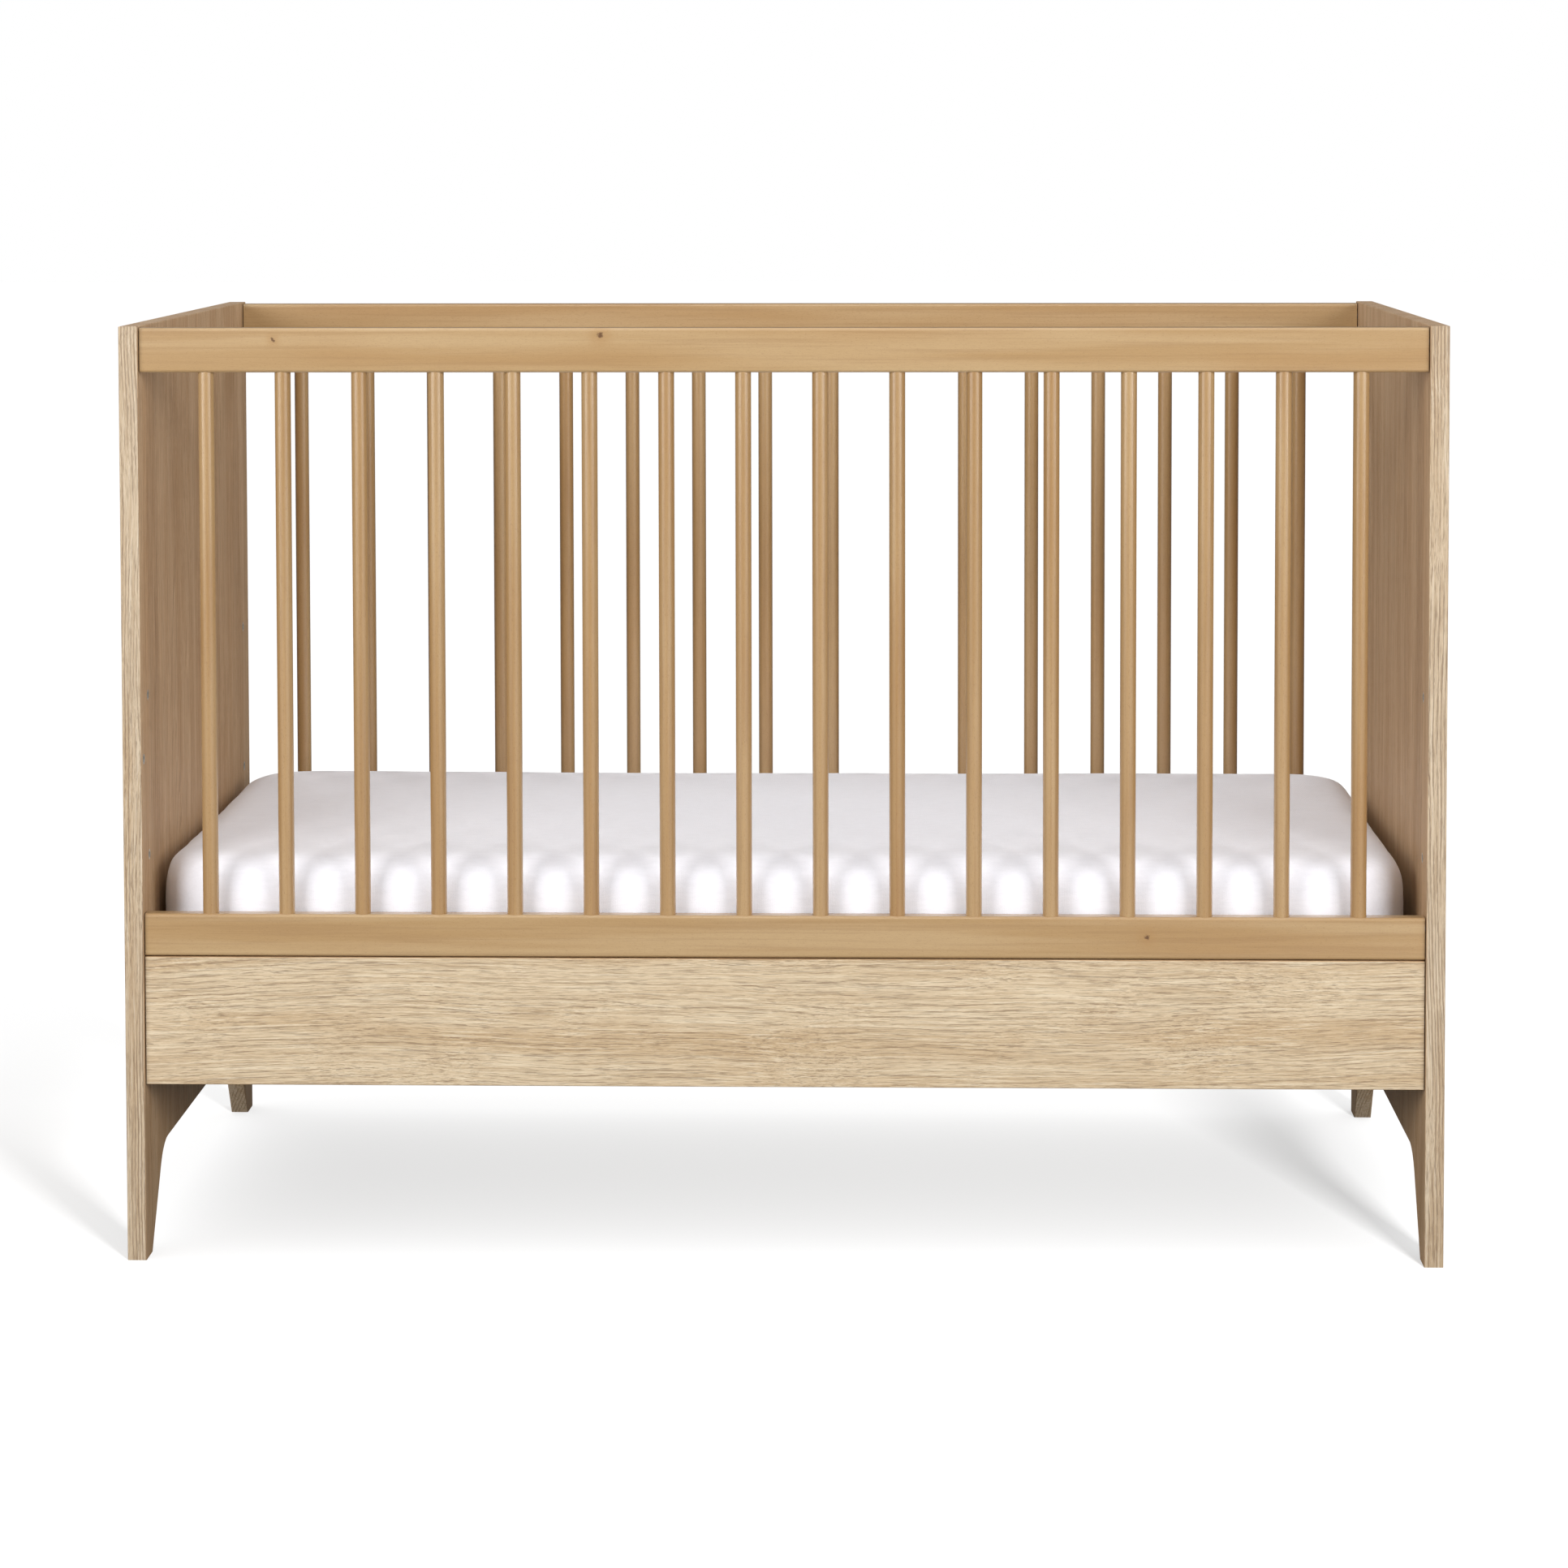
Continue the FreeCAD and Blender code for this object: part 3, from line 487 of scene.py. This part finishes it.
CORE_LOW, CORE_HIGH = (Vector(corner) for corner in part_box("mattress"))
CORE_HALF = (CORE_HIGH - CORE_LOW) / 2
CORE_SHIFT = Vector((-0.0030, 0, 0))         # it lies a little nearer to the left panel
CORE_TUCK = 0.0012                           # how much it gives up on each side before it swells
CORE_RADIUS = 0.062                          # plan radius of its corners
CORE_LIFT = 0.0015                           # room under the core for the turned-in sheet
CORE_BOTTOM = CORE_LOW.z + CORE_LIFT
CORE_VOXEL = 0.010
CORNER_STEPS = 14
CORE_LEVELS = [                              # height, inset, extra inset and dip at the corners
    (0.000, 0.030, 0.000, 0.000),
    (0.000, 0.008, 0.000, 0.000),
    (0.006, 0.001, 0.000, 0.000),
    (0.025, 0.000, 0.000, 0.000),
    (0.060, 0.000, 0.000, 0.000),
    (0.085, 0.0005, 0.000, 0.000),
    (0.097, 0.002, 0.000, 0.000),
    (0.106, 0.005, 0.001, 0.000),
    (0.1125, 0.011, 0.001, 0.001),
    (0.116, 0.019, 0.001, 0.001),
    (0.117, 0.034, 0.001, 0.000),
    (0.117, 0.090, 0.000, 0.000),
]
FOAM_EDGE = 0.030                            # how far in from its outline the top and bottom can swell
SWELL_FRAMES = 20
SWELL_PRESSURE = 4.0
COVER_MASS = 0.3                             # of one point of the cover, in kilograms
SWELL_SIDEWAYS = 0.0028                      # the furthest that a point may move
SWELL_UPWARDS = 0.0012
CORE_SMOOTHING = 2

SHEET_OFFSET = 0.0009                        # from the core
SHEET_TURN_IN = 0.050                        # width of the sheet's edge under the core
TURN_IN_HEIGHT = 0.012                       # points below this belong to the underside
FOLD_HEIGHT = 0.0007
FOLD_BAND = 0.16                             # how far in from the edges the folds fade out
FOLDS_ALONG = 5                              # noise cycles per metre along the mattress
FOLDS_ACROSS = 46                            # and across it
FOLDS_SLANT = 3
FOLDS_SLICE = 1.3                            # which slice of the noise they come from
SLACK_HEIGHT = 0.0005
SLACK_ALONG = 9                              # noise cycles per metre along the mattress
SLACK_ACROSS = 14                            # and across it, and up its sides


def core_ring(half_length, half_width, level):
    """One closed outline round the core, a rounded rectangle that dips at its corners."""
    height, inset, corner_inset, dip = level
    ring = []
    for corner in range(4):
        turn = math.radians(90 * corner)
        side_x = 1 if corner in (0, 3) else -1
        side_y = 1 if corner in (0, 1) else -1
        centre = Vector((side_x * (half_length - CORE_RADIUS), side_y * (half_width - CORE_RADIUS)))
        for step in range(CORNER_STEPS + 1):
            share = step / CORNER_STEPS
            angle = turn + share * math.radians(90)
            cornerness = math.sin(math.pi * share) ** 2
            radius = CORE_RADIUS - inset - corner_inset * cornerness
            ring.append((
                centre.x + radius * math.cos(angle),
                centre.y + radius * math.sin(angle),
                height - dip * cornerness))
    return ring


def solid_from_rings(name, rings):
    """A closed mesh through rings of equal length, with a flat face at each end."""
    count = len(rings[0])
    points = [point for ring in rings for point in ring]
    faces = [tuple(reversed(range(count)))]
    for level in range(len(rings) - 1):
        base = level * count
        for step in range(count):
            after = (step + 1) % count
            faces.append((base + step, base + after, base + count + after, base + count + step))
    faces.append(tuple(range(len(points) - count, len(points))))
    mesh = bpy.data.meshes.new(name)
    mesh.from_pydata(points, [], faces)
    return mesh


def new_piece(name, mesh, material):
    """A smooth-shaded object in the scene, in one material."""
    piece = bpy.data.objects.new(name, mesh)
    SCENE.collection.objects.link(piece)
    mesh.materials.clear()
    mesh.materials.append(material)
    mesh.shade_smooth()
    return piece


def baked(piece):
    """The piece's mesh as its modifiers leave it."""
    graph = bpy.context.evaluated_depsgraph_get()
    return bpy.data.meshes.new_from_object(piece.evaluated_get(graph))


def with_modifier(mesh, kind, **settings):
    """A mesh put through one modifier."""
    carrier = bpy.data.objects.new("carrier", mesh)
    SCENE.collection.objects.link(carrier)
    modifier = carrier.modifiers.new(kind.lower(), kind)
    for key, value in settings.items():
        setattr(modifier, key, value)
    result = baked(carrier)
    bpy.data.objects.remove(carrier)
    return result


def outline_distance(point):
    """How far a point lies outside the core's plan outline; negative inside."""
    x = abs(point.x - CORE_SHIFT.x) - (CORE_HALF.x - CORE_RADIUS)
    y = abs(point.y) - (CORE_HALF.y - CORE_RADIUS)
    outside = math.hypot(max(x, 0), max(y, 0))
    return outside + min(max(x, y), 0) - CORE_RADIUS


def swollen(mesh):
    """The mesh puffed up by cloth under pressure, each point held near its start."""
    start = [point.co.copy() for point in mesh.vertices]
    inside = [point.index for point in mesh.vertices if outline_distance(point.co) < -FOAM_EDGE]
    carrier = bpy.data.objects.new("cloth_carrier", mesh)
    SCENE.collection.objects.link(carrier)
    held = carrier.vertex_groups.new(name="held_by_foam")
    held.add(inside, 1.0, "REPLACE")
    cloth = carrier.modifiers.new("cloth", "CLOTH")
    cloth.settings.vertex_group_mass = held.name
    cloth.settings.quality = 5
    cloth.settings.mass = COVER_MASS
    cloth.settings.use_pressure = True
    cloth.settings.uniform_pressure_force = SWELL_PRESSURE
    cloth.settings.effector_weights.gravity = 0
    cloth.point_cache.frame_start = 1
    cloth.point_cache.frame_end = SWELL_FRAMES
    for frame_number in range(1, SWELL_FRAMES + 1):
        SCENE.frame_set(frame_number)
    result = baked(carrier)
    bpy.data.objects.remove(carrier)
    SCENE.frame_set(1)
    for point, place in zip(result.vertices, start):
        move = point.co - place
        move.z = max(-SWELL_UPWARDS, min(SWELL_UPWARDS, move.z))
        if move.length > SWELL_SIDEWAYS:
            move.length = SWELL_SIDEWAYS
        point.co = place + move
    return result


def relaxed(mesh, times):
    """The mesh with each point drawn half way to its neighbours, a number of times."""
    soft = bmesh.new()
    soft.from_mesh(mesh)
    for _ in range(times):
        bmesh.ops.smooth_vert(
            soft, verts=soft.verts, factor=0.5, use_axis_x=True, use_axis_y=True, use_axis_z=True)
    soft.to_mesh(mesh)
    soft.free()
    return mesh


def make_core():
    """The foam core: flat on top with a rounded edge, its sides swelling a little."""
    half_length = CORE_HALF.x - CORE_TUCK
    half_width = CORE_HALF.y - CORE_TUCK
    rings = [core_ring(half_length, half_width, level) for level in CORE_LEVELS]
    mesh = solid_from_rings("core_start", rings)
    mesh.transform(Matrix.Translation(CORE_SHIFT + Vector((0, 0, CORE_BOTTOM))))
    mesh = with_modifier(mesh, "REMESH", mode="VOXEL", voxel_size=CORE_VOXEL)
    mesh = swollen(mesh)
    mesh = with_modifier(relaxed(mesh, CORE_SMOOTHING), "SUBSURF", levels=1, render_levels=1)
    core = new_piece("mattress_core", mesh, TICKING)
    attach(core, "bedding")
    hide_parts("mattress")
    return core


def crease(point, normal):
    """Faint slack in the sheet: long shallow folds on top, near the front and back edges."""
    top = max(0.0, normal.z)
    near_edge = max(0.0, 1 + outline_distance(point) / FOLD_BAND)
    across = point.y * FOLDS_ACROSS + point.x * FOLDS_SLANT
    folds = noise.noise(Vector((point.x * FOLDS_ALONG, across, FOLDS_SLICE)))
    slack = noise.noise(Vector((point.x * SLACK_ALONG, point.y * SLACK_ACROSS, point.z * SLACK_ACROSS)))
    return FOLD_HEIGHT * top * near_edge * folds + SLACK_HEIGHT * slack


def make_sheet(core):
    """The fitted sheet: a skin over the core, turned in under it and open in the middle below."""
    skin = bmesh.new()
    skin.from_mesh(core.data)
    skin.normal_update()
    moves = [vert.normal * (SHEET_OFFSET + crease(vert.co, vert.normal)) for vert in skin.verts]
    opening = [
        vert for vert in skin.verts
        if vert.co.z < CORE_BOTTOM + TURN_IN_HEIGHT and outline_distance(vert.co) < -SHEET_TURN_IN]
    for vert, move in zip(skin.verts, moves):
        vert.co += move
        vert.co.z = max(vert.co.z, CORE_BOTTOM - SHEET_OFFSET)
    bmesh.ops.delete(skin, geom=opening, context="VERTS")
    mesh = bpy.data.meshes.new("fitted_sheet_skin")
    skin.to_mesh(mesh)
    skin.free()
    sheet = new_piece("fitted_sheet_cloth", mesh, JERSEY)
    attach(sheet, "bedding")
    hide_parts("fitted_sheet")
    return sheet


CORE = make_core()
make_sheet(CORE)

# ---------------------------------------------------------------- stage and light

WHITE = (1.0, 1.0, 1.0, 1.0)
FLOOR_HALF = 30                              # metres
FLOOR_GLOW = 0.52                            # so that shadows on the floor stay faint
FLOOR_WHITE = 0.32
FLOOR_GRAIN = 0.01                           # how far the paper's white strays either way
FLOOR_RETURN = 0.10                          # how much of its light the floor sends back to the crib
WORLD_LIGHT = 0.09                           # the surroundings, as they light the crib
WORLD_SEEN = 1.0                             # and as the camera sees them
MIDDLE = (0, 0, 0.4)                         # where the softboxes aim
SOFTBOXES = [                                # name, place, width, height and watts
    ("softbox_left", (-2.6, -3.4, 1.6), 1.7, 1.6, 96),
    ("softbox_right", (2.6, -3.4, 1.6), 1.7, 1.6, 92),
    ("strip_left", (-3.4, -2.5, 1.3), 0.5, 1.8, 24),
    ("strip_right", (3.4, -2.5, 1.3), 0.5, 1.8, 24),
    ("softbox_top", (0, -0.2, 3.2), 2.0, 1.2, 24),
    ("softbox_front", (0, -3.0, 3.0), 2.4, 0.8, 30),
    ("softbox_back_left", (-2.2, 3.4, 2.5), 1.2, 1.4, 31),
    ("softbox_back_right", (2.2, 3.4, 2.5), 1.2, 1.4, 31),
]
FLASH_PLACE = (1.55, -4.25, 1.1)             # a low lamp that casts the streaks beside the feet
FLASH_AIM = (0, -0.3, 0)
FLASH_SIDE = 0.6
FLASH_WATTS = 700
OVERHEAD_SPREAD = 130                        # degrees
OVERHEAD_STRENGTH = 4.6


def make_floor():
    """White paper that glows a little, so that shadows on it stay faint."""
    mesh = bpy.data.meshes.new("floor")
    half = FLOOR_HALF
    corners = [(-half, -half, 0), (half, -half, 0), (half, half, 0), (-half, half, 0)]
    mesh.from_pydata(corners, [], [(0, 1, 2, 3)])
    floor = bpy.data.objects.new("floor", mesh)
    SCENE.collection.objects.link(floor)
    shader = Shader("floor_paper")
    seen = shader.add("ShaderNodeLightPath").outputs["Is Camera Ray"]
    glow = shader.maths("MULTIPLY", seen, FLOOR_GLOW)
    grain = shader.noise(shader.scaled(shader.place(), PAPER_GRAIN))
    paper = shader.mix(grain, (FLOOR_WHITE - FLOOR_GRAIN,) * 3, (FLOOR_WHITE + FLOOR_GRAIN,) * 3)
    mesh.materials.append(shader.finish(
        Base_Color=shader.mix(seen, (FLOOR_RETURN,) * 3, paper),
        Roughness=0.9,
        Specular_IOR_Level=0.0,
        Emission_Color=WHITE,
        Emission_Strength=glow,
    ))
    return floor


def light_list(name, pieces, state):
    """Objects that a light is limited to, or that it leaves out."""
    group = bpy.data.collections.new(name)
    for piece in pieces:
        group.objects.link(piece)
    for entry in group.collection_objects:
        entry.light_linking.link_state = state
    return group


def place_light(name, data, towards, lit):
    """A light in the scene that points one way and lights only some pieces."""
    light = bpy.data.objects.new(name, data)
    light.rotation_euler = towards.to_track_quat("-Z", "Y").to_euler()
    light.light_linking.receiver_collection = lit
    SCENE.collection.objects.link(light)
    return light


def make_area_light(name, place, target, width, height, power, lit):
    data = bpy.data.lights.new(name, "AREA")
    data.shape = "RECTANGLE"
    data.size = width
    data.size_y = height
    data.energy = power
    light = place_light(name, data, Vector(target) - Vector(place), lit)
    light.location = place
    return light


def make_sun(name, towards, spread, strength, lit):
    data = bpy.data.lights.new(name, "SUN")
    data.energy = strength
    data.angle = math.radians(spread)
    return place_light(name, data, Vector(towards), lit)


def make_world():
    """Even white surroundings, brighter where the camera looks straight at them."""
    world = bpy.data.worlds.new("studio")
    world.use_nodes = True
    tree = world.node_tree
    tree.nodes.clear()
    path = tree.nodes.new("ShaderNodeLightPath")
    level = tree.nodes.new("ShaderNodeMapRange")
    level.inputs["To Min"].default_value = WORLD_LIGHT
    level.inputs["To Max"].default_value = WORLD_SEEN
    tree.links.new(path.outputs["Is Camera Ray"], level.inputs["Value"])
    background = tree.nodes.new("ShaderNodeBackground")
    background.inputs["Color"].default_value = WHITE
    tree.links.new(level.outputs["Result"], background.inputs["Strength"])
    output = tree.nodes.new("ShaderNodeOutputWorld")
    tree.links.new(background.outputs[0], output.inputs["Surface"])
    SCENE.world = world


FLOOR = make_floor()
ONLY_FLOOR = light_list("lit_floor", [FLOOR], "INCLUDE")
ALL_BUT_FLOOR = light_list("lit_product", [FLOOR], "EXCLUDE")
FEET = light_list("streak_blockers", [NODES["end_panel_left"], NODES["end_panel_right"]], "INCLUDE")

make_world()
for name, place, width, height, power in SOFTBOXES:
    make_area_light(name, place, MIDDLE, width, height, power, ALL_BUT_FLOOR)
FLASH = make_area_light(
    "flash_low", FLASH_PLACE, FLASH_AIM, FLASH_SIDE, FLASH_SIDE, FLASH_WATTS, ONLY_FLOOR)
FLASH.light_linking.blocker_collection = FEET
make_sun("floor_overhead", (0, 0, -1), OVERHEAD_SPREAD, OVERHEAD_STRENGTH, ONLY_FLOOR)
SCENE.view_settings.view_transform = "Standard"
SCENE.view_settings.look = "None"
